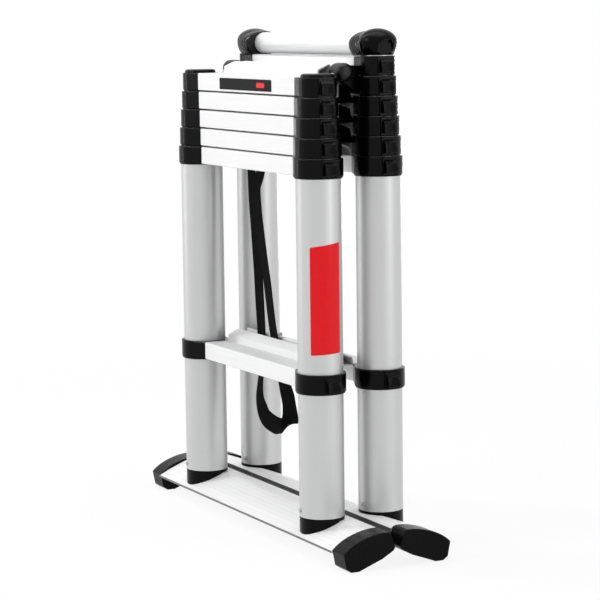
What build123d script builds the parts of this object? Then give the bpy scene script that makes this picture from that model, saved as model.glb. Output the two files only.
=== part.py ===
"""Telescoping ladder with two sections that open from a hinge near the top.

Millimetres. The origin is on the floor under the middle of the closed ladder.
+X runs along the treads, +Y towards the taller rear section, +Z up.
Every shape is drawn once for the rear section's +X stile, then mirrored.
"""
import os
from math import cos, hypot, radians, sin

from build123d import *

# ---- overall layout -------------------------------------------------------
STILE_X = 188.1            # stile axis from the middle
STILE_Y = 45.7             # section plane from the middle
REAR_LEVELS = 6            # sliding collars on the rear section
FRONT_LEVELS = 5
STACK_PITCH = 26.9         # from one closed collar to the next
STACK_START = 510.0
MID_TOP = 247.4            # top of the fixed tread half way up the bottom tube
RUNG_PITCH = 290.0         # from tread to tread when extended
TUBE_OVERLAP = 70.0        # tube left inside the one below when extended

# ---- tubes and collars ----------------------------------------------------
TUBE_R = 30.9              # outer radius of the bottom tube
TUBE_WALL = 1.4
TUBE_GAP = 0.55            # radial play between nested tubes
TUBE_BOTTOM = 50.0
COLLAR_WALL = 2.8
COLLAR_H = STACK_PITCH - 0.3
MID_COLLAR_H = 27.4
MID_COLLAR_WALL = 3.75
END_RISE = 5.0             # dome on the last front collar
LIP_H = 2.0                # collar lip over the end of its tube
LIP_GAP = 0.3
PLUG_L = 22.0              # collar plug inside the tread
REBATE_H = 2.0             # step that keeps stacked collars apart to the eye
REBATE = 1.2
PLATE_T = 1.5              # end plate over the raised part's open end
PLATE_RIM = 1.1            # metal edge left showing around it

# ---- treads ---------------------------------------------------------------
FACE_Y = 64.0              # outer face of every tread
TREAD_H = 24.6
TREAD_WALL = 1.6
STEP_Y = 26.0              # foot of the raised part
STEP_RISE = 10.0
PEAK_Y = 8.5
PEAK_RISE = 16.5
INNER_Y = 5.5              # inner side of the raised part
BACK_Y = 2.2               # back wall of the tread
RAISED_HALF = 149.0        # half length of the raised part
LAST_DROP = 1.0            # last rear tread below its collar's top
SOCKET_L = 6.2             # collar block between its ring and the tread face

# ---- release buttons ------------------------------------------------------
PANEL_HALF = 11.5
BUTTON_HALF = 9.0
BUTTON_TRAVEL = 3.0
BUTTON_LOW = 4.4           # above the collar's lower edge
BUTTON_H = 17.6
BUTTON_OUT = 6.5
SCOOP_R = 13.9             # thumb scoop
SCOOP_DEEP = 2.3
SLIDE_GAP = 0.3

# ---- hinge ----------------------------------------------------------------
PIVOT_Z = 650.0
PIN_R = 3.5
KNUCKLE_R = 6.6
BARREL_R = 10.0            # rear half's barrel, just inside the cover
ARM_RISE = 8.0             # top of the rear arms above the pivot
COVER_R = 12.6
COVER_WALL = 2.0
COVER_END = 8.0            # domed end of the cover, past the rear knuckles
COVER_IN = RAISED_HALF + 3.0
HINGE_IN = COVER_IN + COVER_END
FRONT_IN = HINGE_IN + 5.0  # the front knuckle lies between the two rear ones
FRONT_OUT = FRONT_IN + 8.0
HINGE_OUT = FRONT_OUT + 5.0
COVER_OUT = HINGE_OUT + COVER_END
COVER_EDGE = 47.0          # degrees above the horizontal, on the rear side
COVER_TURN = 43.0          # how far the cover's edge may travel, a little over the range
HINGE_GAP = 0.4

# ---- base -----------------------------------------------------------------
BAR_HALF = 284.0
FOOT_L = 33.0
FOOT_HALF = BAR_HALF + FOOT_L
BEYOND = 2 * FOOT_HALF     # past every part, for cuts that run right through
BAR_BACK = 7.0             # inner face of the bar
BAR_TOP = [(82.0, 24.4), (75.0, 28.0), (68.0, 31.7), (51.0, 38.6), (33.0, 45.2), (22.0, 46.0),
           (12.0, 46.0), (8.0, 45.0), (BAR_BACK, 44.0)]
BAR_UNDER = [(BAR_BACK, 30.0), (22.0, 26.5), (48.0, 17.0), (66.0, 12.5), (76.0, 20.5),
             (82.0, 21.4)]
BAR_WALL = 2.2
BEAD_R = 1.7
FOOT_TOP = [(81.0, 25.0), (68.0, 35.0), (50.0, 42.9), (32.0, 47.3), (15.0, 48.3)]
FOOT_UNDER = [(15.0, 48.3), (10.5, 46.5), (3.6, 26.5), (6.0, 22.5), (23.0, 13.0), (46.0, 4.6),
              (58.0, 0.0), (70.0, 0.0), (77.0, 5.0), (81.0, 25.0)]
SHOE_LOW = 20.0
SHOE_PLUG = 22.0

# ---- carrying strap -------------------------------------------------------
STRAP_W = 25.0
STRAP_T = 1.5
STRAP_Y = (0.6, 0.6 + STRAP_T)
STRAP_LINE = [(-113.6, 531.0), (-113.6, 499.5), (-112.7, 458.8), (-105.0, 408.0), (-96.0, 358.0),
              (-93.0, 307.0), (-87.3, 266.6), (-89.6, 196.0), (-92.0, 168.6), (-80.5, 150.0),
              (-68.9, 138.2), (-42.4, 132.7), (-14.5, 134.5), (7.5, 148.0), (5.3, 169.8),
              (-14.2, 194.5), (-30.0, 230.0), (-47.0, 268.0), (-59.0, 310.7), (-71.9, 360.3),
              (-84.5, 410.0), (-95.0, 455.0), (-95.5, 480.0), (-87.5, 504.0), (-81.0, 531.0)]

PARTS = {}


def tube_r(level):
    return TUBE_R - (level - 1) * (TUBE_WALL + TUBE_GAP)


def level_top(level):
    return STACK_START + STACK_PITCH * level


def ring_r(level):
    return tube_r(level) + COLLAR_WALL


def socket_end(collar_radius):
    """Half length of the tread's face, where the collar block begins."""
    return STILE_X - collar_radius - SOCKET_L


def prism_x(points, x0, x1):
    """A closed outline of (y, z) points, extruded along X from x0 to x1."""
    face = Plane.YZ * make_face(Polyline(*points, close=True))
    return Pos(x0, 0, 0) * extrude(face, x1 - x0, dir=(1, 0, 0))


def block(x, y, z):
    """A box from three (low, high) pairs."""
    size = [high - low for low, high in (x, y, z)]
    middle = [(high + low) / 2 for low, high in (x, y, z)]
    return Pos(*middle) * Box(*size)


def rod(radius, z0, z1, x=STILE_X, y=STILE_Y):
    return Pos(x, y, (z0 + z1) / 2) * Cylinder(radius, z1 - z0)


def rod_x(radius, x0, x1, y=0.0, z=PIVOT_Z):
    return Pos((x0 + x1) / 2, y, z) * Rot(0, 90, 0) * Cylinder(radius, x1 - x0)


def both_ends(shape):
    """The shape and its mirror image at the other end of the treads."""
    return Compound(children=[*shape.solids(), *mirror(shape, about=Plane.YZ).solids()])


def keep(name, shape, front=False):
    solids = shape.solids()
    if front:
        solids = mirror(Compound(children=solids), about=Plane.XZ).solids()
    solids = [Solid(solid.wrapped) for solid in solids]
    PARTS[name] = solids[0] if len(solids) == 1 else Compound(children=solids)


# ---- stiles ---------------------------------------------------------------

def stile_tube(level, top):
    """One tube; the inner ones reach TUBE_OVERLAP into the tube below when extended."""
    bottom = TUBE_BOTTOM if level == 1 else top - (RUNG_PITCH + TUBE_OVERLAP)
    radius = tube_r(level)
    return rod(radius, bottom, top) - rod(radius - TUBE_WALL, bottom - 1, top + 1)


def thumb_piece(collar_radius, base, top, half):
    """The scooped lump that a thumb presses, on the +X side of a collar."""
    x = STILE_X + collar_radius
    out = BUTTON_OUT
    side = [(x - 1.0, base), (x + out - 0.8, base), (x + out, base + 0.9), (x + out, top - 9.0),
            (x + out - 0.7, top - 6.0), (x + out - 2.2, top - 3.4), (x + out - 4.2, top - 1.2),
            (x + 1.2, top), (x - 1.0, top)]
    face = Plane.XZ * make_face(Polyline(*side, close=True))
    lump = Pos(0, STILE_Y + half, 0) * extrude(face, 2 * half, dir=(0, -1, 0))
    scoop = rod(SCOOP_R, base + 1.6, top + 2.0, x + out + SCOOP_R - SCOOP_DEEP)
    lump -= scoop
    low = x + out - SCOOP_DEEP
    return lump - block((low - 0.3, x + out), (STILE_Y - 0.25, STILE_Y + 0.25), (base + 3, top + 1))


def collar_plan(radius, end):
    """Outline of a collar from above: the ring and the block that holds the tread's end."""
    ring = Pos(STILE_X, STILE_Y) * Circle(radius)
    y0, y1 = STEP_Y + 0.4, FACE_Y
    bar = Pos(end + 1, (y0 + y1) / 2) * Rectangle(2, y1 - y0)
    hull = make_face(make_hull([*ring.edges(), *bar.edges()]))
    hull += ring
    recess = Pos(RAISED_HALF / 2 + 0.5, 0) * Rectangle(RAISED_HALF + 1, 2 * STEP_Y + 0.8)
    return hull - recess


def panel(collar_radius, bottom, top):
    x = STILE_X + collar_radius
    return block((STILE_X + 10, x + 0.5), (STILE_Y - PANEL_HALF, STILE_Y + PANEL_HALF),
                 (bottom + 0.6, top - 0.6))


def button_pocket(collar_radius, bottom):
    """Slot for the button's back plate: narrow at the mouth, wider behind it."""
    x = STILE_X + collar_radius
    low = bottom + BUTTON_LOW - BUTTON_TRAVEL - SLIDE_GAP
    high = bottom + BUTTON_LOW + BUTTON_H + SLIDE_GAP
    mouth = BUTTON_HALF + SLIDE_GAP
    slot = block((x - 1.3, x + 2 * BUTTON_OUT), (STILE_Y - mouth, STILE_Y + mouth), (low, high))
    wide = mouth + 1.0
    return slot + block((x - 1.3, x - 0.3), (STILE_Y - wide, STILE_Y + wide), (low, high))


def button(collar_radius, bottom):
    x = STILE_X + collar_radius
    low = bottom + BUTTON_LOW
    high = low + BUTTON_H
    wide = BUTTON_HALF + 0.8
    plate = block((x - 1.0, x - 0.6), (STILE_Y - wide, STILE_Y + wide), (low, high))
    return plate + thumb_piece(collar_radius, low, high, BUTTON_HALF)


def tread_top(level):
    """The last rear tread sits a little lower, clear of the top rung."""
    return level_top(level) - (LAST_DROP if level == REAR_LEVELS else 0.0)


def end_plate(surface):
    """A plate over the end of the raised part, with a gusset back to the collar block."""
    rim = PLATE_RIM
    foot = surface - (STACK_PITCH - PEAK_RISE) + 0.5
    outline = [(INNER_Y + rim, foot), (INNER_Y + rim, surface + PEAK_RISE - 2.4),
               (PEAK_Y, surface + PEAK_RISE - rim), (STEP_Y - 2.8, surface + STEP_RISE - rim),
               (STEP_Y - 1.6 - rim, surface + STEP_RISE - 0.8 - rim), (STEP_Y - rim, surface - 1.0),
               (STEP_Y + 0.4, surface - 2.5), (STEP_Y + 0.4, foot)]
    gusset = block((RAISED_HALF, HINGE_IN - 0.5), (STEP_Y - 6.0, STEP_Y + 0.4), (foot, surface - 3.5))
    return prism_x(outline, RAISED_HALF, RAISED_HALF + PLATE_T) + gusset


def collar(radius, bottom, top, surface, bores, sliding, plate=False):
    """One collar: its ring, tread socket and thumb panel, bored for the tubes.

    surface is the height of its tread's flat strip; bores are the radii below and at the lip.
    """
    end = socket_end(radius)
    low = surface - TREAD_H
    step = bottom + REBATE_H
    ring = rod(radius, step, top)
    ring = fillet(ring.faces().sort_by(Axis.Z)[-1].edges(), 1.2)
    ring += rod(radius - REBATE, bottom, step)
    socket = Pos(0, 0, low) * extrude(collar_plan(radius, end), TREAD_H - 0.3)
    socket = chamfer(socket.faces().sort_by(Axis.Z)[-1].edges().filter_by_position(
        Axis.Y, STILE_Y, 2 * FACE_Y), 0.8)
    plug = block((end - PLUG_L, end + 1),
                 (STEP_Y + 1 + TREAD_WALL, FACE_Y - TREAD_WALL),
                 (low + TREAD_WALL, surface - TREAD_WALL))
    shape = ring + socket + plug + panel(radius, bottom, top)
    if plate:
        shape += end_plate(surface)
    if sliding:
        shape -= button_pocket(radius, bottom)
    else:
        low_edge = bottom + BUTTON_LOW - 0.9
        shape += thumb_piece(radius, low_edge, low_edge + BUTTON_H + 0.9, BUTTON_HALF)
    shape -= rod(bores[0], bottom - 1, top - LIP_H)
    if bores[1]:
        shape -= rod(bores[1], bottom - 1, top + 1)
    return shape


def level_collar(level, last=False):
    top = level_top(level)
    lip = None if last else tube_r(level + 1) + LIP_GAP
    bores = (tube_r(level), lip)
    plate = 1 < level < REAR_LEVELS and not last
    shape = collar(ring_r(level), top - COLLAR_H, top, tread_top(level), bores, not last, plate)
    if last:
        cap = rod(ring_r(level) - 3.0, top - 0.1, top + END_RISE)
        shape += fillet(cap.faces().sort_by(Axis.Z)[-1].edges(), 0.8 * END_RISE)
    return shape


def mid_collar():
    radius = TUBE_R + MID_COLLAR_WALL
    return collar(radius, MID_TOP - MID_COLLAR_H, MID_TOP, MID_TOP, (TUBE_R, TUBE_R), False)


# ---- treads ---------------------------------------------------------------

def raised_outline(top):
    """The raised part above the flat strip, with wide grooves along its slope."""
    run = STEP_Y - 2.0 - PEAK_Y
    rise = PEAK_RISE - STEP_RISE
    points = [(STEP_Y, top), (STEP_Y - 1.6, top + STEP_RISE - 0.8), (STEP_Y - 2.4, top + STEP_RISE)]
    for groove in range(4):
        for offset, depth in ((1.3, 0.0), (1.5, 0.5), (2.3, 0.5), (2.5, 0.0)):
            along = 0.4 + groove * 3.6 + offset
            height = STEP_RISE + rise * along / run
            points.append((STEP_Y - 2.4 - along, top + height - depth))
    points += [(PEAK_Y - 0.4, top + PEAK_RISE), (INNER_Y + 0.8, top + PEAK_RISE - 0.7),
               (INNER_Y, top + PEAK_RISE - 2.4)]
    return points


def tread(top, end, raised=True):
    """An open-ended extrusion: a box, and for most treads a raised part over a lower channel."""
    low = top - TREAD_H
    box_y = STEP_Y + 1.0
    wall = TREAD_WALL
    reach = max(end, RAISED_HALF)
    face = [(FACE_Y - 0.8, low), (FACE_Y, low + 0.8), (FACE_Y, top - 1.4),
            (FACE_Y - 0.5, top - 0.4), (FACE_Y - 1.4, top)]
    if raised:
        outline = [(BACK_Y, low), (BACK_Y + 1.5, low), (BACK_Y + 1.5, top - wall),
                   (box_y, top - wall), (box_y, low)]
        outline += face + raised_outline(top) + [(INNER_Y, top), (BACK_Y, top)]
    else:
        outline = [(STEP_Y, low)] + face + [(STEP_Y + 0.6, top), (STEP_Y, top - 0.6)]
    shape = prism_x(outline, -reach, reach)
    shape -= block((-BEYOND, BEYOND), (box_y + wall, FACE_Y - wall), (low + wall, top - wall))
    if raised:
        hollow = [(STEP_Y - wall, top), (STEP_Y - 3.4, top + STEP_RISE - 2.2),
                  (PEAK_Y, top + PEAK_RISE - 2.2), (INNER_Y + wall, top + PEAK_RISE - 3.2),
                  (INNER_Y + wall, top)]
        shape -= prism_x(hollow, -BEYOND, BEYOND)
    for side in (-1, 1):
        span = sorted((side * end, side * BEYOND))
        shape -= block(span, (STEP_Y, FACE_Y + 1), (low - 1, top + 1))
        span = sorted((side * RAISED_HALF, side * BEYOND))
        if raised:
            shape -= block(span, (0, STEP_Y + 0.4), (low - 1, top + PEAK_RISE + 1))
    return shape


# ---- top of the rear section ----------------------------------------------

CAP_BOTTOM = level_top(REAR_LEVELS) + 0.3
CAP_H = 36.5
CAP_R = 28.2
LOBE_X = STILE_X - 20.0    # middle of the lobe that takes the rung
LOBE_LONG = 28.0
LOBE_DEEP = 29.5
LOBE_DROP = 2.2            # lobe below the dome
LOBE_END = STILE_X - 30.0  # flat end of the lobe
RIBS = 4
RIB_PITCH = 3.4
TUBE_GRIP = 26.0           # last tube inside the cap
RUNG_Z = CAP_BOTTOM + 15.3
RUNG_R = 15.4
RUNG_HALF = LOBE_END + 9.4


def ball(x, z, long, deep, high):
    """An ellipsoid on the rear stiles' line."""
    return Pos(x, STILE_Y, z) * scale(Sphere(1.0), by=(long, deep, high))


def top_cap():
    """A bulbous cap on the last tube, with a ribbed lobe that takes the top rung."""
    half = CAP_H / 2
    middle = CAP_BOTTOM + half
    low_middle = middle - LOBE_DROP
    dome = ball(STILE_X, middle, CAP_R, CAP_R, half)
    dome += rod(tube_r(REAR_LEVELS + 1) + 1.2, CAP_BOTTOM, middle)
    lobe = ball(LOBE_X, low_middle, LOBE_LONG, LOBE_DEEP, half - 0.8)
    core = ball(LOBE_X, low_middle, LOBE_LONG - 0.8, LOBE_DEEP - 0.8, half - 1.6)
    for rib in range(RIBS):
        x = LOBE_END + 3.0 + RIB_PITCH * rib
        slab = block((x, x + 1.3), (0, 2 * FACE_Y), (low_middle - 0.6 * half, middle + half))
        lobe -= slab - core
    shape = dome + lobe
    x = STILE_X + CAP_R
    ramp = [(x - 6.5, middle + 0.5 * half), (x + 9, middle + 0.5 * half), (x + 9, middle - 8.0),
            (x - 1.4, middle - 5.5)]
    ramp = Plane.XZ * make_face(Polyline(*ramp, close=True))
    shape -= Pos(0, STILE_Y + PANEL_HALF, 0) * extrude(ramp, 2 * PANEL_HALF, dir=(0, -1, 0))
    shape -= block((0, LOBE_END), (0, 2 * FACE_Y), (CAP_BOTTOM - 9, CAP_BOTTOM + 2 * CAP_H))
    shape -= block((0, 2 * STILE_X), (-FACE_Y, 2 * FACE_Y), (CAP_BOTTOM - CAP_H, CAP_BOTTOM))
    shape -= rod(tube_r(REAR_LEVELS + 1), CAP_BOTTOM - 1, CAP_BOTTOM + TUBE_GRIP)
    shape -= rod_x(RUNG_R, 0, RUNG_HALF, STILE_Y, RUNG_Z)
    return shape


def top_rung():
    """The handle rung: a round tube with a slight crease low on its sides."""
    shape = rod_x(RUNG_R, -RUNG_HALF, RUNG_HALF, STILE_Y, RUNG_Z)
    shape -= rod_x(RUNG_R - 1.8, -BEYOND, BEYOND, STILE_Y, RUNG_Z)
    for side in (-1, 1):
        y = STILE_Y + side * (RUNG_R - 0.1)
        shape -= rod_x(0.7, 8.0 - LOBE_END, LOBE_END - 8.0, y, RUNG_Z - 4.0)
    return shape


# ---- base -----------------------------------------------------------------

def base_bar():
    outline = BAR_TOP + BAR_UNDER
    face = make_face(Polyline(*outline, close=True))
    inner = offset(face, -BAR_WALL, kind=Kind.INTERSECTION)
    section = Plane.YZ * (face - inner)
    bar = Pos(-BAR_HALF, 0, 0) * extrude(section, 2 * BAR_HALF, dir=(1, 0, 0))
    bar += rod_x(BEAD_R, -BAR_HALF, BAR_HALF, BAR_TOP[0][0], (BAR_TOP[0][1] + BAR_UNDER[-1][1]) / 2)
    for z in (32.5, 35.0, 37.5, 40.0, 42.5):
        bar -= block((-BEYOND, BEYOND), (BAR_BACK - 1, BAR_BACK + 0.6), (z - 0.5, z + 0.5))
    bar -= Pos(0, 54.0, 37.55) * Rot(-20, 0, 0) * Box(2 * BEYOND, 1.0, 1.0)
    return bar


def foot_cap():
    outline = make_face([Spline(*FOOT_TOP), Polyline(*FOOT_UNDER)])
    body = Pos(BAR_HALF, 0, 0) * extrude(Plane.YZ * outline, FOOT_L, dir=(1, 0, 0))
    rim = body.faces().sort_by(Axis.X)[-1].edges()
    body = chamfer(rim, 0.8)
    face = make_face(Polyline(*(BAR_TOP + BAR_UNDER), close=True))
    inner = Plane.YZ * offset(face, -BAR_WALL, kind=Kind.INTERSECTION)
    plug = Pos(BAR_HALF - 18, 0, 0) * extrude(inner, 18.5, dir=(1, 0, 0))
    return body + plug


def tube_shoe():
    """The wedge between the sloping bar and the bottom tube, with a plug inside the tube."""
    below = BAR_TOP + [(BAR_BACK, 0.0), (BAR_TOP[0][0], 0.0)]
    shoe = rod(TUBE_R, SHOE_LOW, TUBE_BOTTOM)
    shoe += rod(TUBE_R - TUBE_WALL, TUBE_BOTTOM - 1, TUBE_BOTTOM + SHOE_PLUG)
    shoe -= prism_x(below, 0, BEYOND)
    return shoe


# ---- hinge ----------------------------------------------------------------

def hinge_arm(x0, x1, eye_r, low, high):
    """An arm from the pivot to the collar ring, cut to the ring's outline."""
    radius = ring_r(FRONT_LEVELS)
    plan = collar_plan(radius, socket_end(radius))
    eye = Pos(0, PIVOT_Z) * Circle(eye_r)
    root = Pos(STEP_Y - 2.0, (low + high) / 2) * Rectangle(8.0, high - low)
    side = make_face(make_hull([*eye.edges(), *root.edges()]))
    arm = Pos(x0, 0, 0) * extrude(Plane.YZ * side, x1 - x0, dir=(1, 0, 0))
    return arm - Pos(0, 0, low - 20) * extrude(plan, high - low + 2 * CAP_H)


def sector_x(radius, start, stop, x0, x1):
    """A slice of a cylinder about the pivot, between two angles from +Y."""
    points = [(0.0, PIVOT_Z)]
    steps = 24
    for step in range(steps + 1):
        angle = radians(start + (stop - start) * step / steps)
        points.append((radius * cos(angle), PIVOT_Z + radius * sin(angle)))
    return prism_x(points, x0, x1)


def hinge_parts():
    low = level_top(FRONT_LEVELS) - COLLAR_H + 3.0
    high = level_top(FRONT_LEVELS) - 6.0
    bore = PIN_R + 0.3
    front = hinge_arm(FRONT_IN, FRONT_OUT, KNUCKLE_R, low, high) - rod_x(bore, 0, BEYOND)
    rear = hinge_arm(HINGE_IN, HINGE_OUT, BARREL_R, low, PIVOT_Z + ARM_RISE)
    track = sector_x(COVER_R + 0.4, COVER_EDGE - COVER_TURN, COVER_EDGE + 90, HINGE_IN, HINGE_OUT)
    rear -= track - rod_x(COVER_R - COVER_WALL - 0.4, 0, BEYOND)
    room = (FRONT_IN - HINGE_GAP, FRONT_OUT + HINGE_GAP)
    rear -= rod_x(KNUCKLE_R + HINGE_GAP, *room)
    rear -= block(room, (-2 * COVER_R, 1.0), (PIVOT_Z - 1, PIVOT_Z + 2 * COVER_R))
    rear -= block(room, (-2 * COVER_R, KNUCKLE_R), (PIVOT_Z - 2 * COVER_R, PIVOT_Z))
    rear -= rod_x(PIN_R, 0, BEYOND)
    pin = rod_x(PIN_R, HINGE_IN, HINGE_OUT)
    pin += rod_x(PIN_R + 1.5, HINGE_IN - 1.5, HINGE_IN)
    pin += rod_x(PIN_R + 1.5, HINGE_OUT, HINGE_OUT + 1.5)
    return front, rear, pin


def hinge_cover(front_arm):
    """A domed shell around the knuckles; it rides on the front arm and opens to the rear."""
    shell = rod_x(COVER_R, COVER_IN, COVER_OUT)
    shell = fillet(shell.edges().filter_by(GeomType.CIRCLE), COVER_END)
    room = rod_x(COVER_R - COVER_WALL, COVER_IN + COVER_WALL, COVER_OUT - COVER_WALL)
    shell -= fillet(room.edges().filter_by(GeomType.CIRCLE), COVER_END - COVER_WALL + 0.5)
    shell -= sector_x(4 * COVER_R, -114.0, COVER_EDGE, HINGE_IN - HINGE_GAP, HINGE_OUT + HINGE_GAP)
    return shell - mirror(front_arm, about=Plane.XZ)


# ---- carrying strap -------------------------------------------------------

def strap():
    """Webbing hung in a loop between the sections, flat in the XZ plane."""
    centre = Spline(*[(x, z) for x, z in STRAP_LINE])
    left, right = [], []
    steps = 90
    for step in range(steps + 1):
        at = centre @ (step / steps)
        along = centre % (step / steps)
        size = hypot(along.X, along.Y)
        side = (-along.Y / size * STRAP_W / 2, along.X / size * STRAP_W / 2)
        left.append((at.X + side[0], at.Y + side[1]))
        right.append((at.X - side[0], at.Y - side[1]))
    return left, right


def strap_solid():
    left, right = strap()
    solid = Part()
    for i in range(len(left) - 1):
        ring = Polyline(left[i], left[i + 1], right[i + 1], right[i], close=True)
        piece = extrude(Plane.XZ * make_face(ring), STRAP_T, dir=(0, 1, 0))
        solid += Pos(0, STRAP_Y[0], 0) * piece
    return solid


# ---- assembly -------------------------------------------------------------

def make_section(front):
    side = "front" if front else "rear"
    levels = FRONT_LEVELS if front else REAR_LEVELS
    keep(f"{side}_base_bar", base_bar(), front)
    keep(f"{side}_foot_caps", both_ends(foot_cap()), front)
    keep(f"{side}_tube_shoes", both_ends(tube_shoe()), front)
    keep(f"{side}_mid_tread", tread(MID_TOP, socket_end(TUBE_R + MID_COLLAR_WALL)), front)
    for level in range(1, levels + 1):
        top = level_top(level)
        last = front and level == levels
        if level == 1:
            name = f"{side}_bottom_tubes"
        else:
            name = f"{side}_tubes_{level}"
        keep(name, both_ends(stile_tube(level, top - LIP_H)), front)
        rings = both_ends(level_collar(level, last))
        if level == 1:
            rings = Compound(children=[*rings.solids(), *both_ends(mid_collar()).solids()])
            keep(f"{side}_lower_collars", rings, front)
        else:
            keep(f"{side}_collars_{level}", rings, front)
        raised = front or level < levels
        shape = tread(tread_top(level), socket_end(ring_r(level)), raised)
        keep(f"{side}_tread_{level}", shape, front)
        if not last:
            keep(f"{side}_buttons_{level}", both_ends(button(ring_r(level), top - COLLAR_H)), front)


def make_all():
    make_section(front=False)
    make_section(front=True)
    last = REAR_LEVELS + 1
    keep(f"rear_tubes_{last}", both_ends(stile_tube(last, CAP_BOTTOM + TUBE_GRIP)))
    keep("top_caps", both_ends(top_cap()))
    keep("top_rung", top_rung())
    front_arm, rear_arm, pin = hinge_parts()
    keep("front_hinge_arms", both_ends(front_arm), front=True)
    keep("rear_hinge_arms", both_ends(rear_arm))
    keep("hinge_pins", both_ends(pin))
    keep("hinge_covers", both_ends(hinge_cover(front_arm)))
    keep("carry_strap", strap_solid())


make_all()
os.makedirs("parts", exist_ok=True)
for name, shape in PARTS.items():
    shape.label = name
    export_step(shape, f"parts/{name}.step")
    print(name, len(shape.solids()), round(shape.volume))
print(len(PARTS), "nodes")
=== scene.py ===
"""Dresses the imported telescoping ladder: finishes for its metal and plastic, and the small pieces.

Lengths are in metres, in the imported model's own frame: +X along the treads, +Z up.
"""
import math

import bmesh
import bpy
from bpy.props import FloatProperty, FloatVectorProperty, PointerProperty
from bpy.types import Operator, Panel, PropertyGroup
from mathutils import Matrix, Vector


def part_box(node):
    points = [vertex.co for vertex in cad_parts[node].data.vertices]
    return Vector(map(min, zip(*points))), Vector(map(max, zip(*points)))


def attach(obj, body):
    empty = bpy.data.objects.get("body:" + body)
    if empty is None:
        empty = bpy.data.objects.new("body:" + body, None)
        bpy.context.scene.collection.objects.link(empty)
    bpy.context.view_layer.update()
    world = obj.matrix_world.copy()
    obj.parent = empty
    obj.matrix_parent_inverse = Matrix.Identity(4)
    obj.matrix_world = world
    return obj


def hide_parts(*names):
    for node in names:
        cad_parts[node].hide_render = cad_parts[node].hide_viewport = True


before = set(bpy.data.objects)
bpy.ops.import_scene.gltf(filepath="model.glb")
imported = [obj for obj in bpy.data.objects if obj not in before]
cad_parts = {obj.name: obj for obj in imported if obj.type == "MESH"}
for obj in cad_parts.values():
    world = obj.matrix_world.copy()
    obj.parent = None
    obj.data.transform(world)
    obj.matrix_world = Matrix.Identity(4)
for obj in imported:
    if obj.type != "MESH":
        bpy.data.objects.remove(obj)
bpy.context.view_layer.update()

bl_info = {
    "name": "Telescoping ladder dressing",
    "version": (1, 0, 0),
    "blender": (4, 5, 0),
    "location": "View3D > Sidebar > Ladder",
    "description": "Finishes and small fittings for a two-section telescoping ladder",
    "category": "Object",
}

MM = 0.001
TUBE_LOW, TUBE_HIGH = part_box("front_bottom_tubes")
TUBE_R = (TUBE_HIGH.y - TUBE_LOW.y) / 2
STILE_X = TUBE_HIGH.x - TUBE_R
STILE_Y = -(TUBE_HIGH.y + TUBE_LOW.y) / 2
FACE_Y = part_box("front_tread_5")[0].y
LAST_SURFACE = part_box("rear_tread_6")[1].z
CAP_LOW, CAP_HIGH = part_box("top_caps")
CAP_R = CAP_HIGH.x - STILE_X
CAP_MIDDLE = (CAP_LOW.z + CAP_HIGH.z) / 2
CAP_HALF = (CAP_HIGH.z - CAP_LOW.z) / 2
TREAD_NODES = [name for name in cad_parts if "tread" in name]
TUBE_NODES = [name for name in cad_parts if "tubes" in name]
COLLAR_NODES = [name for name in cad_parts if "collars" in name]
BUTTON_NODES = [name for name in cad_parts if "buttons" in name]

# Where a finish changes along a piece, measured from the middle plane or from the floor.
BAR_LIP_SHADE_FROM = 0.0826          # out from here, a base bar's lip gets painted shade
BAR_LINES_FROM = 0.018    # out from here, its slope has drawn lines
BAR_INNER_FACE = 0.0079   # within this, it faces the other bar
BAR_INNER_TOP = 0.0445    # below this, that face lies in the shade
KNUCKLE_FOOT = 0.641      # above this, a front hinge arm is bare steel; below it, painted shade
LAST_EDGE = 0.0011        # how far the last tread's dark edge reaches down

# Pitches of the repeats in the finishes.
TREAD_GROOVES = 0.0029
BAR_RIBS = 0.0025
BAR_LINES = 0.0062
STRAP_PICKS = 0.0014
STRAP_YARNS = 0.045       # a share of the strap's width
STRAP_SLANT = 0.004

# Scales of the noise in the finishes; the uneven ones draw it out along a piece.
DRAWN_ALONG = {"x": (12, 900, 900), "z": (900, 900, 12)}
STREAKS = (8, 260, 260)
STEEL_GRAIN = 1400.0
MOULD_GRAIN = 2600.0


# ---- shader wiring --------------------------------------------------------

class Wire:
    """A socket in a node tree. Arithmetic on it adds Math nodes."""

    def __init__(self, graph, socket):
        self.graph = graph
        self.socket = socket

    def math(self, operation, *values):
        inputs = {f"i{place}": value for place, value in enumerate(values)}
        return self.graph.node("ShaderNodeMath", {"operation": operation}, **inputs)

    def __add__(self, other):
        return self.math("ADD", self, other)

    def __sub__(self, other):
        return self.math("SUBTRACT", self, other)

    def __rsub__(self, other):
        return self.math("SUBTRACT", other, self)

    def __mul__(self, other):
        return self.math("MULTIPLY", self, other)

    def __pow__(self, other):
        return self.math("POWER", self, other)

    __radd__ = __add__
    __rmul__ = __mul__

    def magnitude(self):
        return self.math("ABSOLUTE", self)

    def clamp(self):
        return self.math("MINIMUM", self.math("MAXIMUM", self, 0.0), 1.0)

    def above(self, edge):
        return self.math("GREATER_THAN", self, edge)

    def below(self, edge):
        return self.math("LESS_THAN", self, edge)

    def wave(self, period):
        """0 to 1 and back, once per period."""
        return 0.5 + 0.5 * self.math("SINE", (2 * math.pi / period) * self)


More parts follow.
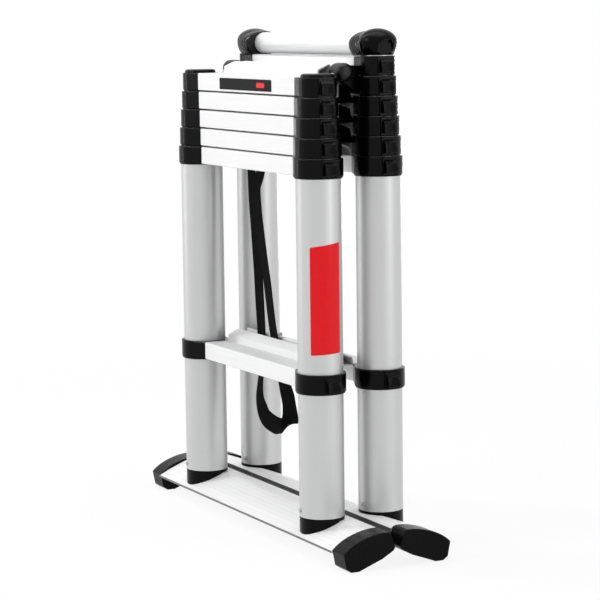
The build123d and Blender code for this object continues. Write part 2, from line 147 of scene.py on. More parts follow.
class Graph:
    """A node tree, and the one way to add a node to it."""

    def __init__(self, tree):
        self.tree = tree

    def feed(self, slot, value):
        """Links a wire to an input, or sets the input's own value."""
        if isinstance(value, Wire):
            self.tree.links.new(value.socket, slot)
        else:
            slot.default_value = value

    def node(self, kind, settings=None, output=0, **values):
        """Adds one node: its settings first, then its inputs, by name or as i0, i1 and so on."""
        node = self.tree.nodes.new(kind)
        for key, value in (settings or {}).items():
            setattr(node, key, value)
        for key, value in values.items():
            numbered = key[0] == "i" and key[1:].isdigit()
            self.feed(node.inputs[int(key[1:]) if numbered else key.replace("_", " ")], value)
        return Wire(self, node.outputs[output])

    def looked_at(self):
        """1 for what the camera or a mirror sees, and 0 for what only lights other things."""
        path = self.node("ShaderNodeLightPath").socket.node
        seen = Wire(self, path.outputs["Is Camera Ray"])
        mirrored = Wire(self, path.outputs["Is Glossy Ray"])
        return (seen + mirrored).clamp()


class Finish(Graph):
    """A material with a Principled surface, and short ways to wire nodes into it."""

    def __init__(self, name, **constants):
        self.material = bpy.data.materials.new(name)
        self.material.use_nodes = True
        super().__init__(self.material.node_tree)
        self.surface = self.tree.nodes["Principled BSDF"]
        for socket, value in constants.items():
            self.set(socket.replace("_", " "), value)

    def set(self, socket, value):
        self.feed(self.surface.inputs[socket], value)

    def place(self):
        """The point on the piece, in metres, in the model's frame."""
        return self.node("ShaderNodeTexCoord", output="Object")

    def split(self, vector):
        """A vector's x, y and z."""
        node = self.node("ShaderNodeSeparateXYZ", i0=vector).socket.node
        return [Wire(self, out) for out in node.outputs]

    def stretched(self, vector, scale):
        return self.node("ShaderNodeMapping", Vector=vector, Scale=scale)

    def noise(self, vector, scale, detail=2.0, rough=0.5):
        return self.node("ShaderNodeTexNoise", Vector=vector, Scale=scale, Detail=detail,
                         Roughness=rough)

    def blend(self, factor, first, second):
        """Mixes two colours; a Mix node's colour sockets are inputs 6 and 7 and output 2."""
        return self.node("ShaderNodeMix", {"data_type": "RGBA"}, output=2,
                         i0=factor, i6=first, i7=second)

    def soft_edges(self, radius):
        return self.node("ShaderNodeBevel", {"samples": 4}, Radius=radius)

    def bump(self, height, distance, strength=1.0, normal=None):
        values = {"Height": height, "Distance": distance, "Strength": strength}
        if normal is not None:
            values["Normal"] = normal
        return self.node("ShaderNodeBump", **values)


def shade(rgb, factor=1.0):
    return (rgb[0] * factor, rgb[1] * factor, rgb[2] * factor, 1.0)


def dress(obj, material):
    obj.data.materials.clear()
    obj.data.materials.append(material)
    for face in obj.data.polygons:
        face.material_index = 0


def dress_nodes(names, material):
    for name in names:
        dress(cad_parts[name], material)


# ---- metal ----------------------------------------------------------------

def anodised(name, rgb, rough, along="z", metallic=0.55):
    """Satin anodised aluminium with faint drawing lines along its length."""
    finish = Finish(name, Metallic=metallic, IOR=1.5)
    place = finish.place()
    lines = finish.noise(finish.stretched(place, DRAWN_ALONG[along]), 1.0, 3.0, 0.6)
    cloud = finish.noise(place, 22.0, 3.0, 0.55)
    finish.set("Base Color", finish.blend((lines * 0.5 + cloud * 0.5).clamp(),
                                          shade(rgb, 0.95), shade(rgb, 1.04)))
    finish.set("Roughness", (lines - 0.5) * 0.12 + (cloud - 0.5) * 0.06 + rough)
    normal = finish.soft_edges(0.0006)
    finish.set("Normal", finish.bump(lines, 0.00004, 0.35, normal))
    return finish


def tread_metal(name, rgb, dark_above=None):
    """Anodised tread extrusion with fine grooves on its flat top, and dark sides above a height."""
    finish = anodised(name, rgb, 0.42, "x", 0.15)
    place = finish.place()
    _, y, z = finish.split(place)
    up = finish.split(finish.node("ShaderNodeTexCoord", output="Normal"))[2]
    grooves = y.wave(TREAD_GROOVES) ** 3.0 * up.above(0.95)
    cloud = finish.noise(finish.stretched(place, STREAKS), 1.0, 2.0)
    normal = finish.soft_edges(0.0005)
    finish.set("Normal", finish.bump(cloud * 0.05 - grooves, 0.0006, 0.9, normal))
    plain = finish.blend(cloud, shade(rgb, 0.97), shade(rgb, 1.02))
    # Painted shade in the grooves: their colour is darkened to 0.45 of the tread's.
    colour = finish.blend(grooves, plain, shade(rgb, 0.45))
    if dark_above is not None:
        colour = finish.blend(z.above(dark_above) * up.below(0.5), colour, shade(rgb, 0.06))
    finish.set("Base Color", colour)
    return finish.material


def bar_metal(rgb):
    """Base bar extrusion: faint lines along its slope, and painted shade along its lip and over its
    inner face.
    """
    finish = anodised("bar_metal", rgb, 0.42, "x", 0.1)
    place = finish.place()
    _, y, z = finish.split(place)
    out = y.magnitude()
    lip_shade = out.above(BAR_LIP_SHADE_FROM)
    inside = out.below(BAR_INNER_FACE) * z.below(BAR_INNER_TOP)
    ribs = z.wave(BAR_RIBS) ** 2.0
    slope = out + 0.3 * z
    lines = slope.wave(BAR_LINES) ** 8.0 * (1.0 - lip_shade) * out.above(BAR_LINES_FROM)
    cloud = finish.noise(finish.stretched(place, STREAKS), 1.0, 2.0)
    plain = finish.blend(cloud, shade(rgb, 0.97), shade(rgb, 1.03))
    lined = finish.blend(lines, plain, shade(rgb, 0.945))
    # Painted shade along the lip: it is darkened to 0.16 of the bar's colour.
    outside = finish.blend(lip_shade, lined, shade(rgb, 0.16))
    # Painted shade over the inner face facing the other bar, with its ribs striped darker still.
    shaded = finish.blend(ribs, shade(rgb, 0.10), shade(rgb, 0.015))
    finish.set("Base Color", finish.blend(inside, outside, shaded))
    return finish.material


def bright_steel(name, rgb, rough):
    """Bare steel with a fine, uneven grain."""
    finish = Finish(name, Metallic=1.0)
    grain = finish.noise(finish.place(), STEEL_GRAIN, 3.0)
    finish.set("Base Color", finish.blend(grain, shade(rgb, 0.88), shade(rgb, 1.0)))
    finish.set("Roughness", (grain - 0.5) * 0.2 + rough)
    finish.set("Normal", finish.soft_edges(0.0004))
    return finish.material


def arm_with_painted_shade(name, rgb, coating):
    """Steel arm with painted shade below its knuckle, near-black there; the knuckle itself is bare.
    """
    finish = Finish(name, IOR=1.5, Specular_IOR_Level=0.1)
    place = finish.place()
    _, _, z = finish.split(place)
    grain = finish.noise(place, STEEL_GRAIN, 3.0)
    steel_above_shade = (z + (grain - 0.5) * 0.002).above(KNUCKLE_FOOT)
    # Below the knuckle foot, painted shade: the plastic colour stands in for the shade there.
    finish.set("Base Color", finish.blend(steel_above_shade, shade(coating), shade(rgb, 0.95)))
    finish.set("Metallic", steel_above_shade)
    finish.set("Roughness", (grain - 0.5) * 0.2 + 0.32)
    finish.set("Normal", finish.soft_edges(0.0004))
    return finish.material


# ---- plastic --------------------------------------------------------------

def moulded(name, rgb, rough, grain_depth=0.00006, edge=0.0009, shine=0.18):
    """Moulded plastic with a fine spark-eroded grain and softened edges."""
    finish = Finish(name, IOR=1.5, Specular_IOR_Level=shine)
    place = finish.place()
    grain = finish.noise(place, MOULD_GRAIN, 2.0, 0.6)
    cloud = finish.noise(place, 45.0, 3.0, 0.6)
    finish.set("Base Color", finish.blend(cloud, shade(rgb, 0.85), shade(rgb, 1.25)))
    finish.set("Roughness", (cloud - 0.5) * 0.10 + (grain - 0.5) * 0.06 + rough)
    normal = finish.soft_edges(edge)
    finish.set("Normal", finish.bump(grain, grain_depth, 0.5, normal))
    return finish


def cap_plastic(rgb):
    """The top caps' plastic: a moulding seam over the middle, and a glossier inner side."""
    finish = moulded("cap_plastic", rgb, 0.3, 0.00002, edge=0.0003, shine=0.05)
    x, _, _ = finish.split(finish.place())
    out = x.magnitude()
    seam = (out - STILE_X).magnitude().below(0.0004)
    finish.set("Normal", finish.bump(seam, -0.0006, 1.0, finish.soft_edges(0.0002)))
    finish.set("Coat Roughness", 0.12)
    finish.set("Coat Weight", 0.05 + 0.5 * out.below(STILE_X + 2 * MM))
    return finish.material


# ---- settings -------------------------------------------------------------

class LadderSettings(PropertyGroup):
    """Sizes and colours of the ladder's dressing."""

    metal_colour: FloatVectorProperty(
        name="Metal", description="Colour of the anodised tubes and bars", subtype="COLOR",
        default=(0.59, 0.592, 0.595), min=0.0, max=1.0)
    tread_colour: FloatVectorProperty(
        name="Treads", description="Colour of the treads", subtype="COLOR",
        default=(0.90, 0.90, 0.905), min=0.0, max=1.0)
    plastic_colour: FloatVectorProperty(
        name="Plastic", description="Colour of the collars, caps and feet", subtype="COLOR",
        default=(0.0016, 0.0016, 0.0019), min=0.0, max=1.0)
    sticker_colour: FloatVectorProperty(
        name="Sticker", description="Colour of the plain sticker on the front tube",
        subtype="COLOR", default=(0.90, 0.008, 0.014), min=0.0, max=1.0)
    strap_colour: FloatVectorProperty(
        name="Strap", description="Colour of the carrying strap", subtype="COLOR",
        default=(0.0016, 0.0016, 0.0019), min=0.0, max=1.0)
    screw_radius: FloatProperty(
        name="Screw head", description="Radius of a tube screw's head", unit="LENGTH",
        default=3.6 * MM, min=1 * MM, max=10 * MM)
    strap_width: FloatProperty(
        name="Strap width", description="Width of the webbing", unit="LENGTH",
        default=25 * MM, min=10 * MM, max=50 * MM)
    strap_thickness: FloatProperty(
        name="Strap thickness", description="Thickness of the webbing", unit="LENGTH",
        default=1.5 * MM, min=0.5 * MM, max=4 * MM)
    lamp_power: FloatProperty(
        name="Lamps", description="Strength of the studio lamps", default=1.0, min=0.0, max=10.0)


# ---- meshes ---------------------------------------------------------------

def solid(name, bm):
    """A bare mesh object."""
    bmesh.ops.recalc_face_normals(bm, faces=bm.faces[:])
    mesh = bpy.data.meshes.new(name)
    bm.to_mesh(mesh)
    bm.free()
    obj = bpy.data.objects.new(name, mesh)
    bpy.context.scene.collection.objects.link(obj)
    return obj


def piece_from(name, bm, material, smooth=True):
    """A mesh object with its finish."""
    obj = solid(name, bm)
    obj.data.materials.append(material)
    for face in obj.data.polygons:
        face.use_smooth = smooth
    return obj


def loft(bm, rings):
    """Joins rings of the same number of corners, and closes both ends."""
    count = len(rings[0])
    for low, high in zip(rings, rings[1:]):
        for i in range(count):
            j = (i + 1) % count
            bm.faces.new((low[i], low[j], high[j], high[i]))
    bm.faces.new(rings[0])
    bm.faces.new(rings[-1])


def lathe(bm, profile, turns, matrix):
    """Spins (radius, height) points about the local Z axis and closes both ends."""
    rings = []
    for radius, height in profile:
        ring = []
        for i in range(turns):
            angle = 2 * math.pi * i / turns
            point = Vector((radius * math.cos(angle), radius * math.sin(angle), height))
            ring.append(bm.verts.new(matrix @ point))
        rings.append(ring)
    loft(bm, rings)


def carve(obj, operation, other):
    """Joins another solid to this one or cuts it out, then throws the other away."""
    modifier = obj.modifiers.new(operation, "BOOLEAN")
    modifier.operation = operation
    modifier.solver = "EXACT"
    modifier.object = other
    bpy.context.view_layer.update()
    evaluated = obj.evaluated_get(bpy.context.evaluated_depsgraph_get())
    result = bpy.data.meshes.new_from_object(evaluated)
    obj.modifiers.clear()
    obj.data = result
    bpy.data.objects.remove(other)


def cylinder(name, radius, low, high, matrix):
    """A round bar along the matrix's Z axis, as a tool for a bore."""
    bm = bmesh.new()
    lathe(bm, [(radius, low), (radius, high)], 64, matrix)
    return solid(name, bm)


def curved_plate(bm, centre, radius, angles, heights, rise, thickness, corner):
    """A thin round-cornered plate on an upright tube.

    Its two rises lift the far end of its lower and of its upper edge.
    """
    columns, rows = 28, 40
    lift_off = 0.02 * MM
    outer, inner = {}, {}
    half_a = (angles[1] - angles[0]) / 2
    mid_a = (angles[1] + angles[0]) / 2
    half_z = (heights[1] - heights[0]) / 2
    mid_z = (heights[1] + heights[0]) / 2
    for i in range(columns + 1):
        for j in range(rows + 1):
            u = -1 + 2 * i / columns
            v = -1 + 2 * j / rows
            across = half_a * radius
            over_x = max(0.0, abs(u) * across - (across - corner))
            over_z = max(0.0, abs(v) * half_z - (half_z - corner))
            reach = math.hypot(over_x, over_z)
            pull = corner / reach if reach > corner else 1.0
            x = math.copysign(min(abs(u) * across, across - corner) + over_x * pull, u)
            z = math.copysign(min(abs(v) * half_z, half_z - corner) + over_z * pull, v)
            angle = mid_a + x / radius
            z += (x / across + 1) / 2 * (rise[0] + (rise[1] - rise[0]) * (v + 1) / 2)
            for store, r in ((outer, radius + thickness), (inner, radius + lift_off)):
                store[i, j] = bm.verts.new((centre[0] + r * math.cos(angle),
                                            centre[1] + r * math.sin(angle), mid_z + z))
    for i in range(columns):
        for j in range(rows):
            bm.faces.new((outer[i, j], outer[i + 1, j], outer[i + 1, j + 1], outer[i, j + 1]))
            bm.faces.new((inner[i, j], inner[i, j + 1], inner[i + 1, j + 1], inner[i + 1, j]))
    border = [(i, 0) for i in range(columns)] + [(columns, j) for j in range(rows)]
    border += [(i, rows) for i in range(columns, 0, -1)] + [(0, j) for j in range(rows, 0, -1)]
    for here, there in zip(border, border[1:] + border[:1]):
        bm.faces.new((outer[here], outer[there], inner[there], inner[here]))


# ---- operators ------------------------------------------------------------

def settings():
    return bpy.context.scene.ladder


class LADDER_OT_metalwork(Operator):
    """Finish the tubes, treads, bars and rung in anodised aluminium"""

    bl_idname = "ladder.metalwork"
    bl_label = "Metalwork"

    def execute(self, context):
        s = settings()
        steel = (0.62, 0.62, 0.63)
        tubes = anodised("tube_metal", s.metal_colour, 0.40, "z", 0.74)
        rung = anodised("rung_metal", shade(s.metal_colour, 1.45), 0.36, "x", 0.4)
        coating = moulded("arm_coating", s.plastic_colour, 0.30, shine=0.05)
        dress_nodes(TUBE_NODES, tubes.material)
        dress_nodes(TREAD_NODES, tread_metal("tread_metal", s.tread_colour))
        dress_nodes(["rear_tread_6"], tread_metal("last_tread_metal", s.tread_colour,
                                                  LAST_SURFACE - LAST_EDGE))
        dress_nodes(["top_rung"], rung.material)
        dress_nodes(["front_base_bar", "rear_base_bar"], bar_metal(shade(s.tread_colour, 1.06)))
        dress_nodes(["hinge_pins"], bright_steel("pin_steel", steel, 0.3))
        dress_nodes(["front_hinge_arms"], arm_with_painted_shade("arm_steel", steel, s.plastic_colour))
        dress_nodes(["rear_hinge_arms"], coating.material)
        return {"FINISHED"}


class LADDER_OT_mouldings(Operator):
    """Finish the collars, buttons, caps, shoes, feet and hinge covers in black plastic"""

    bl_idname = "ladder.mouldings"
    bl_label = "Mouldings"

    def execute(self, context):
        rgb = settings().plastic_colour
        feet = ["front_tube_shoes", "rear_tube_shoes", "front_foot_caps", "rear_foot_caps"]
        collar = moulded("collar_plastic", rgb, 0.2, 0.00003, edge=0.0013, shine=0.1)
        button = moulded("button_plastic", rgb, 0.24, 0.00003, shine=0.1)
        foot = moulded("foot_plastic", rgb, 0.27, 0.00003, edge=0.0013, shine=0.09)
        cover = moulded("cover_plastic", rgb, 0.36, 0.00001, edge=0.002, shine=0.25)
        dress_nodes(COLLAR_NODES, collar.material)
        dress_nodes(BUTTON_NODES, button.material)
        dress_nodes(feet, foot.material)
        dress_nodes(["hinge_covers"], cover.material)
        return {"FINISHED"}


class LADDER_OT_caps(Operator):
    """Shape the two top caps: a full dome, a ribbed lobe for the rung and a finger recess"""

    bl_idname = "ladder.caps"
    bl_label = "Top caps"

    def dome(self):
        """Drawn in below its middle and round above it."""
        low, reach, draw, power = CAP_LOW.z, 0.97, 0.54, 2.4
        below, above = 24, 30
        profile = [(CAP_R * 0.62, low), (CAP_R * 0.66, low + 0.3 * MM)]
        for i in range(below):
            drop = reach - i / below * reach
            radius = CAP_R * math.sqrt(1 - draw * drop ** power)
            profile.append((radius, CAP_MIDDLE - CAP_HALF * drop))
        for i in range(above):
            turn = math.radians(88.5 * i / (above - 1))
            profile.append((CAP_R * math.cos(turn), CAP_MIDDLE + CAP_HALF * math.sin(turn)))
        bm = bmesh.new()
        lathe(bm, profile, 96, Matrix.Translation((STILE_X, STILE_Y, 0)))
        return solid("dome", bm)

    def lobe(self):
        """Rings across X with four grooves; level with the cap's bottom below."""
        start, stop, widest = STILE_X - 30 * MM, STILE_X + 3 * MM, STILE_X - 20 * MM
        middle, deep, tall = CAP_MIDDLE - 2.2 * MM, 29.5 * MM, CAP_HALF - 0.8 * MM
        grooves, pitch, share, depth = 4, 5.8 * MM, 0.4, 0.04
        steps, corners = 96, 72
        bm = bmesh.new()
        rings = []
        for i in range(steps + 1):
            x = start + (stop - start) * i / steps
            if x < widest:
                size = math.sqrt(1 - ((x - widest) / (28 * MM)) ** 2)
            else:
                size = 1 - 0.05 * min(1.0, (x - widest) / (20 * MM)) ** 2
            along = (x - start - 6 * MM) / pitch
            if 0 <= along < grooves and along % 1.0 < share:
                size -= depth * math.sin(math.pi * (along % 1.0) / share)
            ring = []
            for k in range(corners):
                turn = 2 * math.pi * k / corners
                wide, up = math.cos(turn), math.sin(turn)
                if up < 0:
                    wide = math.copysign(math.sqrt(1 - 0.4 * up * up), wide)
                y = STILE_Y + deep * size * wide
                z = max(middle + tall * size * up, CAP_LOW.z + 0.1 * MM)
                ring.append(bm.verts.new((x, y, z)))
            rings.append(ring)
        loft(bm, rings)
        return solid("lobe", bm)

    def recess(self):
        """The tool for the finger recess: an arch from the outer side, deepest at its head."""
        foot, head = CAP_LOW.z + 1.2 * MM, CAP_LOW.z + 20.6 * MM
        edge = STILE_X + CAP_R
        outside = edge + 9 * MM
        section = ((edge - 6.4 * MM, head), (outside, head), (outside, foot),
                   (edge - 6.0 * MM, foot))
        bm = bmesh.new()
        loft(bm, [[bm.verts.new((x, STILE_Y + half, z)) for x, z in section]
                  for half in (-11.5 * MM, 11.5 * MM)])
        top = [e for e in bm.edges if all(v.co.z > head - 0.1 * MM for v in e.verts)
               and abs(e.verts[0].co.y - e.verts[1].co.y) < 1 * MM]
        bmesh.ops.bevel(bm, geom=top, offset=3.5 * MM, segments=6, affect="EDGES")
        return solid("recess", bm)

    def execute(self, context):
        rung_low, rung_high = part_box("top_rung")
        rung_z = (rung_low.z + rung_high.z) / 2
        rung_r = (rung_high.z - rung_low.z) / 2
        tube_low, tube_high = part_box("rear_tubes_7")
        tube_r = (tube_high.y - tube_low.y) / 2
        slack, past = 0.05 * MM, 0.1 * MM
        upright = Matrix.Translation((STILE_X, STILE_Y, 0))
        flat = (Matrix.Translation((0, STILE_Y, rung_z))
                @ Matrix.Rotation(math.radians(90), 4, "Y"))
        cap = self.dome()
        carve(cap, "UNION", self.lobe())
        carve(cap, "DIFFERENCE", self.recess())
        carve(cap, "DIFFERENCE", cylinder("bore", tube_r + slack, CAP_LOW.z - MM,
                                          tube_high.z + past, upright))
        carve(cap, "DIFFERENCE", cylinder("socket", rung_r + slack, STILE_X - 60 * MM,
                                          rung_high.x + past, flat))
        bm = bmesh.new()
        bm.from_mesh(cap.data)
        bpy.data.objects.remove(cap)
        twin = bm.copy()
        bmesh.ops.scale(twin, vec=(-1, 1, 1), verts=twin.verts)
        scratch = bpy.data.meshes.new("twin")
        twin.to_mesh(scratch)
        twin.free()
        bm.from_mesh(scratch)
        bpy.data.meshes.remove(scratch)
        bmesh.ops.dissolve_degenerate(bm, dist=0.01 * MM, edges=bm.edges)
        caps = piece_from("ribbed_caps", bm, cap_plastic(settings().plastic_colour))
        caps.data.set_sharp_from_angle(angle=math.radians(38))
        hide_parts("top_caps")
        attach(caps, "rear_top")
        return {"FINISHED"}


class LADDER_OT_screws(Operator):
    """Add the pan-head screw low on each bottom tube"""

    bl_idname = "ladder.screws"
    bl_label = "Tube screws"

    def execute(self, context):
        radius = settings().screw_radius
        steel = bright_steel("screw_steel", (0.42, 0.42, 0.42), 0.30)
        height, sunk = 58.5 * MM, 0.2 * MM
        profile = [(radius, 0.0), (radius, 0.7 * MM), (radius * 0.93, 1.3 * MM),
                   (radius * 0.72, 1.9 * MM), (radius * 0.42, 2.2 * MM),
                   (radius * 0.40, 1.3 * MM), (radius * 0.12, 1.1 * MM)]
        for body, y, degrees in (("front_base", -STILE_Y, -100), ("rear_base", STILE_Y, -79)):
            turn = math.radians(degrees)
            out = Vector((math.cos(turn), math.sin(turn), 0))
            upright = out.to_track_quat("Z", "Y").to_matrix().to_4x4()
            for end, x in (("left", -STILE_X), ("right", STILE_X)):
                base = Vector((x, y, height)) + out * (TUBE_R - sunk)
                bm = bmesh.new()
                lathe(bm, profile, 28, Matrix.Translation(base) @ upright)
                screw = piece_from(f"{body}_screw_{end}", bm, steel)
                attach(screw, body)
        return {"FINISHED"}


class LADDER_OT_sticker(Operator):
    """Wrap the plain red sticker on the front tube at the +X end"""

    bl_idname = "ladder.sticker"
    bl_label = "Tube sticker"

    def execute(self, context):
        finish = Finish("sticker_film", IOR=1.5, Specular_IOR_Level=0.2)
        place = finish.place()
        cloud = finish.noise(place, 60.0, 3.0)
        rgb = settings().sticker_colour
        finish.set("Base Color", finish.blend(cloud, shade(rgb, 0.94), shade(rgb, 1.05)))
        finish.set("Roughness", (cloud - 0.5) * 0.10 + 0.33)
        finish.set("Normal", finish.bump(finish.noise(place, 420.0, 2.0), 0.00003, 0.3))
        angles = (math.radians(-52), math.radians(31))
        heights, rises = (274 * MM, 419.5 * MM), (2.6 * MM, 6.2 * MM)
        thickness, corner = 0.25 * MM, 1.2 * MM
        bm = bmesh.new()
        curved_plate(bm, (STILE_X, -STILE_Y), TUBE_R, angles, heights, rises, thickness, corner)
        sticker = piece_from("tube_sticker", bm, finish.material)
        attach(sticker, "front_base")
        return {"FINISHED"}


class LADDER_OT_label(Operator):
    """Fix the plain black plate with its red field on the front section's top tread"""

    bl_idname = "ladder.label"
    bl_label = "Label plate"

    def execute(self, context):
        s = settings()
        black = moulded("plate_film", s.plastic_colour, 0.30, 0.00002, shine=0.06)
        red = moulded("plate_red_film", s.sticker_colour, 0.32, 0.00002)
        # Each plate's name, its spans along X and Z and its depth in millimetres, and its finish.
        plates = [("label_plate", (-81, 86.5), (623.0, 639.3), 0.45, black),
                  ("label_field", (40, 65), (627.6, 634.6), 0.62, red)]
        for name, span_x, span_z, depth, finish in plates:
            bm = bmesh.new()
            bmesh.ops.create_cube(bm, size=1.0)
            size = Vector((span_x[1] - span_x[0], depth, span_z[1] - span_z[0])) * MM
            centre = Vector((sum(span_x) / 2 * MM, FACE_Y - depth / 2 * MM, sum(span_z) / 2 * MM))
            for vert in bm.verts:
                vert.co = Vector(a * b for a, b in zip(vert.co, size)) + centre
            upright = [e for e in bm.edges
                       if abs(e.verts[0].co.y - e.verts[1].co.y) > depth * 0.5 * MM]
            bmesh.ops.bevel(bm, geom=upright, offset=0.9 * MM, segments=4, affect="EDGES")
            front = [e for e in bm.edges
                     if all(v.co.y < FACE_Y - depth * 0.9 * MM for v in e.verts)
                     and len(e.link_faces) == 2 and e.calc_face_angle() > 0.5]
            bmesh.ops.bevel(bm, geom=front, offset=0.12 * MM, segments=2, affect="EDGES")
            plate = piece_from(name, bm, finish.material, smooth=False)
            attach(plate, "front_stage_5")
        return {"FINISHED"}


# Stations along the strap: centre (x, y, z) and the direction of its width, in millimetres.
STRAP_STATIONS = [
    ((-116.0, 1.2, 531.0), (1.0, 0.0, 0.0)),
    ((-115.7, 1.2, 499.0), (1.0, 0.0, 0.0)),
    ((-113.1, 1.2, 458.0), (1.0, 0.0, 0.0)),
    ((-107.9, 1.2, 423.0), (1.0, 0.02, 0.0)),
    ((-103.0, 1.2, 388.0), (1.0, 0.04, 0.0)),
    ((-98.1, 1.2, 353.0), (1.0, 0.06, 0.05)),
    ((-94.4, 1.2, 311.0), (1.0, 0.06, 0.05)),
    ((-90.2, 1.2, 266.3), (1.0, 0.02, 0.0)),
    ((-89.4, 0.8, 232.0), (1.0, 0.0, 0.0)),
    ((-90.4, -0.5, 200.0), (0.98, -0.18, 0.0)),
    ((-91.0, -2.5, 170.0), (0.99, -0.02, 0.1)),
    ((-82.0, -3.0, 151.5), (0.96, 0.2, 0.2)),
    ((-68.9, -2.5, 139.5), (0.9, 0.25, 0.35)),
    ((-42.4, -1.0, 133.5), (0.70, 0.30, 0.62)),
    ((-26.0, 1.5, 134.0), (0.50, 0.52, 0.69)),
    ((-9.0, 2.5, 137.5), (0.50, 0.58, 0.62)),
    ((0.5, 1.5, 150.0), (0.72, 0.60, 0.32)),
    ((1.5, -0.5, 169.8), (0.9, 0.42, 0.15)),
    ((-4.3, 0.0, 181.8), (0.92, 0.36, 0.2)),
    ((-14.2, 0.4, 197.0), (0.94, 0.25, 0.25)),
    ((-31.0, -0.3, 232.0), (0.98, 0.0, 0.22)),
    ((-46.1, -0.6, 268.9), (0.97, -0.04, 0.2)),
    ((-53.8, -0.7, 297.0), (0.97, -0.04, 0.22)),
    ((-63.5, -0.7, 338.0), (0.97, -0.04, 0.22)),
    ((-74.8, -0.7, 375.0), (0.97, -0.02, 0.24)),
    ((-85.3, -0.7, 414.0), (0.97, 0.0, 0.22)),
    ((-91.0, -0.7, 437.7), (0.97, 0.0, 0.15)),
    ((-94.6, -0.7, 460.3), (1.0, 0.0, 0.05)),
    ((-95.2, -0.7, 474.1), (1.0, -0.02, -0.1)),
    ((-92.8, -0.7, 484.5), (0.94, -0.02, -0.3)),
    ((-82.0, -0.7, 499.8), (0.88, -0.02, -0.42)),
    ((-66.0, -0.7, 531.0), (0.90, -0.02, -0.40)),
]


def catmull(points, steps):
    """Points on a smooth curve through the given ones, steps to each span."""
    result = []
    for i in range(len(points) - 1):
        before = points[max(i - 1, 0)]
        start, end = points[i], points[i + 1]
        after = points[min(i + 2, len(points) - 1)]
        for k in range(steps):
            t = k / steps
            result.append(0.5 * ((2 * start) + (end - before) * t
                                 + (2 * before - 5 * start + 4 * end - after) * t ** 2
                                 + (3 * start - before - 3 * end + after) * t ** 3))
    result.append(points[-1].copy())
    return result


def webbing(rgb):
    """Woven webbing: warp yarns, picks laid in a zigzag and a tighter selvedge."""
    finish = Finish("webbing", Sheen_Weight=0.01, Specular_IOR_Level=0.06)
    u, v, _ = finish.split(finish.node("ShaderNodeTexCoord", output="UV"))
    across = 2.0 * (v - 0.5).magnitude()
    slant = u + STRAP_SLANT * v.math("PINGPONG", v * 6.0, 0.5)
    yarns = v.wave(STRAP_YARNS) ** 0.7
    picks = slant.wave(STRAP_PICKS) ** 0.7
    weave = yarns * 0.55 + picks * 0.45
    edge = across.above(0.90)
    height = weave * (1.0 - edge * 0.5) + edge * 0.35
    fuzz = finish.noise(finish.place(), 900.0, 3.0)
    finish.set("Base Color", finish.blend((height * 0.8 + fuzz * 0.3).clamp(),
                                          shade(rgb, 0.45), shade(rgb, 1.9)))
    finish.set("Roughness", 0.72 + 0.15 * fuzz)
    finish.set("Normal", finish.bump(height + fuzz * 0.2, 0.00035, 0.9))
    return finish.material


class LADDER_OT_strap(Operator):
    """Hang the carrying strap in its loop between the two sections"""

    bl_idname = "ladder.strap"
    bl_label = "Carrying strap"

    def execute(self, context):
        s = settings()
        steps = 8
        centres = catmull([Vector(c) * MM for c, _ in STRAP_STATIONS], steps)
        widths = catmull([Vector(w).normalized() for _, w in STRAP_STATIONS], steps)
        half, thick = s.strap_width / 2, s.strap_thickness / 2
        # Places across the strap, and the share of its thickness at each.
        across = [(-1.0, 0.0), (-0.97, 0.8), (-0.9, 1.0), (-0.6, 1.0), (-0.3, 1.0), (0.0, 1.0),
                  (0.3, 1.0), (0.6, 1.0), (0.9, 1.0), (0.97, 0.8), (1.0, 0.0)]
        bm = bmesh.new()
        uv = bm.loops.layers.uv.new("UVMap")
        rings, run = [], [0.0]
        for i, centre in enumerate(centres):
            ahead = centres[min(i + 1, len(centres) - 1)] - centres[max(i - 1, 0)]
            ahead.normalize()
            side = widths[i] - ahead * widths[i].dot(ahead)
            side.normalize()
            out = ahead.cross(side)
            if i:
                run.append(run[-1] + (centre - centres[i - 1]).length)
            ring = []
            for sign, order in ((1, across), (-1, list(reversed(across))[1:-1])):
                for a, full in order:
                    point = centre + side * a * half + out * sign * thick * full
                    ring.append((point, (a + 1) / 2))
            rings.append([(bm.verts.new(p), v) for p, v in ring])
        for i in range(len(rings) - 1):
            count = len(rings[i])
            for j in range(count):
                k = (j + 1) % count
                corners = [(rings[i][j], run[i]), (rings[i][k], run[i]),
                           (rings[i + 1][k], run[i + 1]), (rings[i + 1][j], run[i + 1])]
                face = bm.faces.new([c[0][0] for c in corners])
                for loop, (vert, along) in zip(face.loops, corners):
                    loop[uv].uv = (along, vert[1])
        bm.faces.new([v for v, _ in rings[0]])
        bm.faces.new([v for v, _ in rings[-1]])
        strap = piece_from("webbing_strap", bm, webbing(s.strap_colour))
        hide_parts("carry_strap")
        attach(strap, "rear_base")
        return {"FINISHED"}


def area_lamp(name, place, aim, size, power):
    data = bpy.data.lights.new(name, "AREA")
    data.shape = "RECTANGLE"
    data.size, data.size_y = size
    data.energy = power
    lamp = bpy.data.objects.new(name, data)
    bpy.context.scene.collection.objects.link(lamp)
    lamp.location = place
    lamp.rotation_euler = (Vector(aim) - Vector(place)).to_track_quat("-Z", "Y").to_euler()


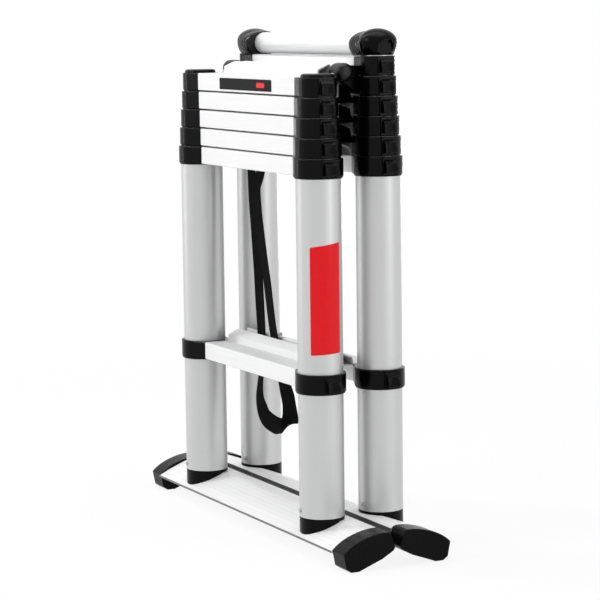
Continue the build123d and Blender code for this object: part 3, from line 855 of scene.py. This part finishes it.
# Each lamp's name, its place, the point it looks at, its size and its power in watts.
LAMPS = [
    ("key_lamp", (-0.35, -3.3, 2.3), (0, 0, 0.35), (0.9, 0.9), 37),
    ("fill_lamp", (3.0, 1.7, 1.5), (0, 0, 0.35), (1.5, 2.4), 28),
    ("top_lamp", (0.2, 0.2, 3.2), (0, 0, 0.3), (2.0, 2.0), 40),
    ("edge_lamp", (-1.3, -1.0, 2.9), (0, 0, 0.5), (0.3, 2.4), 30),
    ("left_strip", (-2.5, -2.2, 0.9), (0, 0, 0.6), (0.12, 2.0), 9),
    ("right_strip", (-2.2, 2.5, 0.45), (0, 0, 0.5), (0.14, 0.7), 8),
]
CAMERA_PLACE = (2.8433, -1.4227, 0.7271)
CAMERA_YAW = math.radians(63.10)
CAMERA_PITCH = math.radians(-7.262)
CAMERA_ROLL = math.radians(-0.706)
CAMERA_LENS = 134.18
WORLD_LIGHT = 0.30


class LADDER_OT_stage(Operator):
    """Set the pale floor, the soft lamps, the world and the camera"""

    bl_idname = "ladder.stage"
    bl_label = "Stage"

    def floor(self):
        """White paper that glows for the camera and fades a little away from the ladder."""
        bm = bmesh.new()
        bmesh.ops.create_grid(bm, x_segments=1, y_segments=1, size=30.0)
        finish = Finish("floor_paper", Base_Color=(0.92, 0.92, 0.92, 1), Roughness=0.9)
        paper = Wire(finish, finish.surface.outputs[0])
        glow = finish.node("ShaderNodeEmission", Color=(1, 1, 1, 1), Strength=1.0)
        x, y, _ = finish.split(finish.place())
        away = (0.8 * ((x * x + y * y) ** 0.5 - 0.6)).clamp()
        mixed = finish.node("ShaderNodeMixShader", i1=paper, i2=glow,
                            i0=finish.looked_at() * (0.87 + 0.13 * away))
        finish.feed(finish.tree.nodes["Material Output"].inputs["Surface"], mixed)
        floor = piece_from("floor", bm, finish.material)

    def world(self, scene):
        """White where it is seen or mirrored, and dimmer as a light."""
        world = bpy.data.worlds.new("studio")
        scene.world = world
        world.use_nodes = True
        graph = Graph(world.node_tree)
        back = graph.tree.nodes["Background"]
        graph.feed(back.inputs["Color"], (1, 1, 1, 1))
        graph.feed(back.inputs["Strength"],
                   WORLD_LIGHT + (1.0 - WORLD_LIGHT) * graph.looked_at())

    def camera(self, scene):
        data = bpy.data.cameras.new("camera")
        camera = bpy.data.objects.new("camera", data)
        scene.collection.objects.link(camera)
        scene.camera = camera
        data.sensor_width = 36.0
        data.lens = CAMERA_LENS
        data.clip_end = 100.0
        ahead = Vector((-math.sin(CAMERA_YAW) * math.cos(CAMERA_PITCH),
                        math.cos(CAMERA_YAW) * math.cos(CAMERA_PITCH), math.sin(CAMERA_PITCH)))
        right = ahead.cross(Vector((0, 0, 1))).normalized()
        up = right.cross(ahead)
        c, s = math.cos(CAMERA_ROLL), math.sin(CAMERA_ROLL)
        right, up = right * c + up * s, up * c - right * s
        turn = Matrix((right, up, -ahead)).transposed().to_4x4()
        camera.matrix_world = Matrix.Translation(CAMERA_PLACE) @ turn

    def execute(self, context):
        context.scene.view_settings.view_transform = "Standard"
        self.floor()
        self.world(context.scene)
        for name, place, aim, size, watts in LAMPS:
            area_lamp(name, place, aim, size, watts * settings().lamp_power)
        self.camera(context.scene)
        return {"FINISHED"}


class LADDER_PT_panel(Panel):
    """Shows the ladder's settings, and a button for each group of pieces"""

    bl_idname = "LADDER_PT_panel"
    bl_label = "Telescoping ladder"
    bl_space_type = "VIEW_3D"
    bl_region_type = "UI"
    bl_category = "Ladder"

    def draw(self, context):
        for name in LadderSettings.__annotations__:
            self.layout.prop(context.scene.ladder, name)
        for operator in PIECES:
            self.layout.operator(operator.bl_idname)


PIECES = (LADDER_OT_stage, LADDER_OT_metalwork, LADDER_OT_mouldings, LADDER_OT_caps,
          LADDER_OT_strap, LADDER_OT_screws, LADDER_OT_sticker, LADDER_OT_label)
CLASSES = (LadderSettings, *PIECES, LADDER_PT_panel)


def register():
    for item in CLASSES:
        bpy.utils.register_class(item)
    bpy.types.Scene.ladder = PointerProperty(type=LadderSettings)


def unregister():
    del bpy.types.Scene.ladder
    for item in reversed(CLASSES):
        bpy.utils.unregister_class(item)


def main():
    register()
    bpy.ops.ladder.stage()
    bpy.ops.ladder.metalwork()
    bpy.ops.ladder.mouldings()
    bpy.ops.ladder.caps()
    bpy.ops.ladder.strap()
    bpy.ops.ladder.screws()
    bpy.ops.ladder.sticker()
    bpy.ops.ladder.label()


if __name__ == "__main__":
    main()
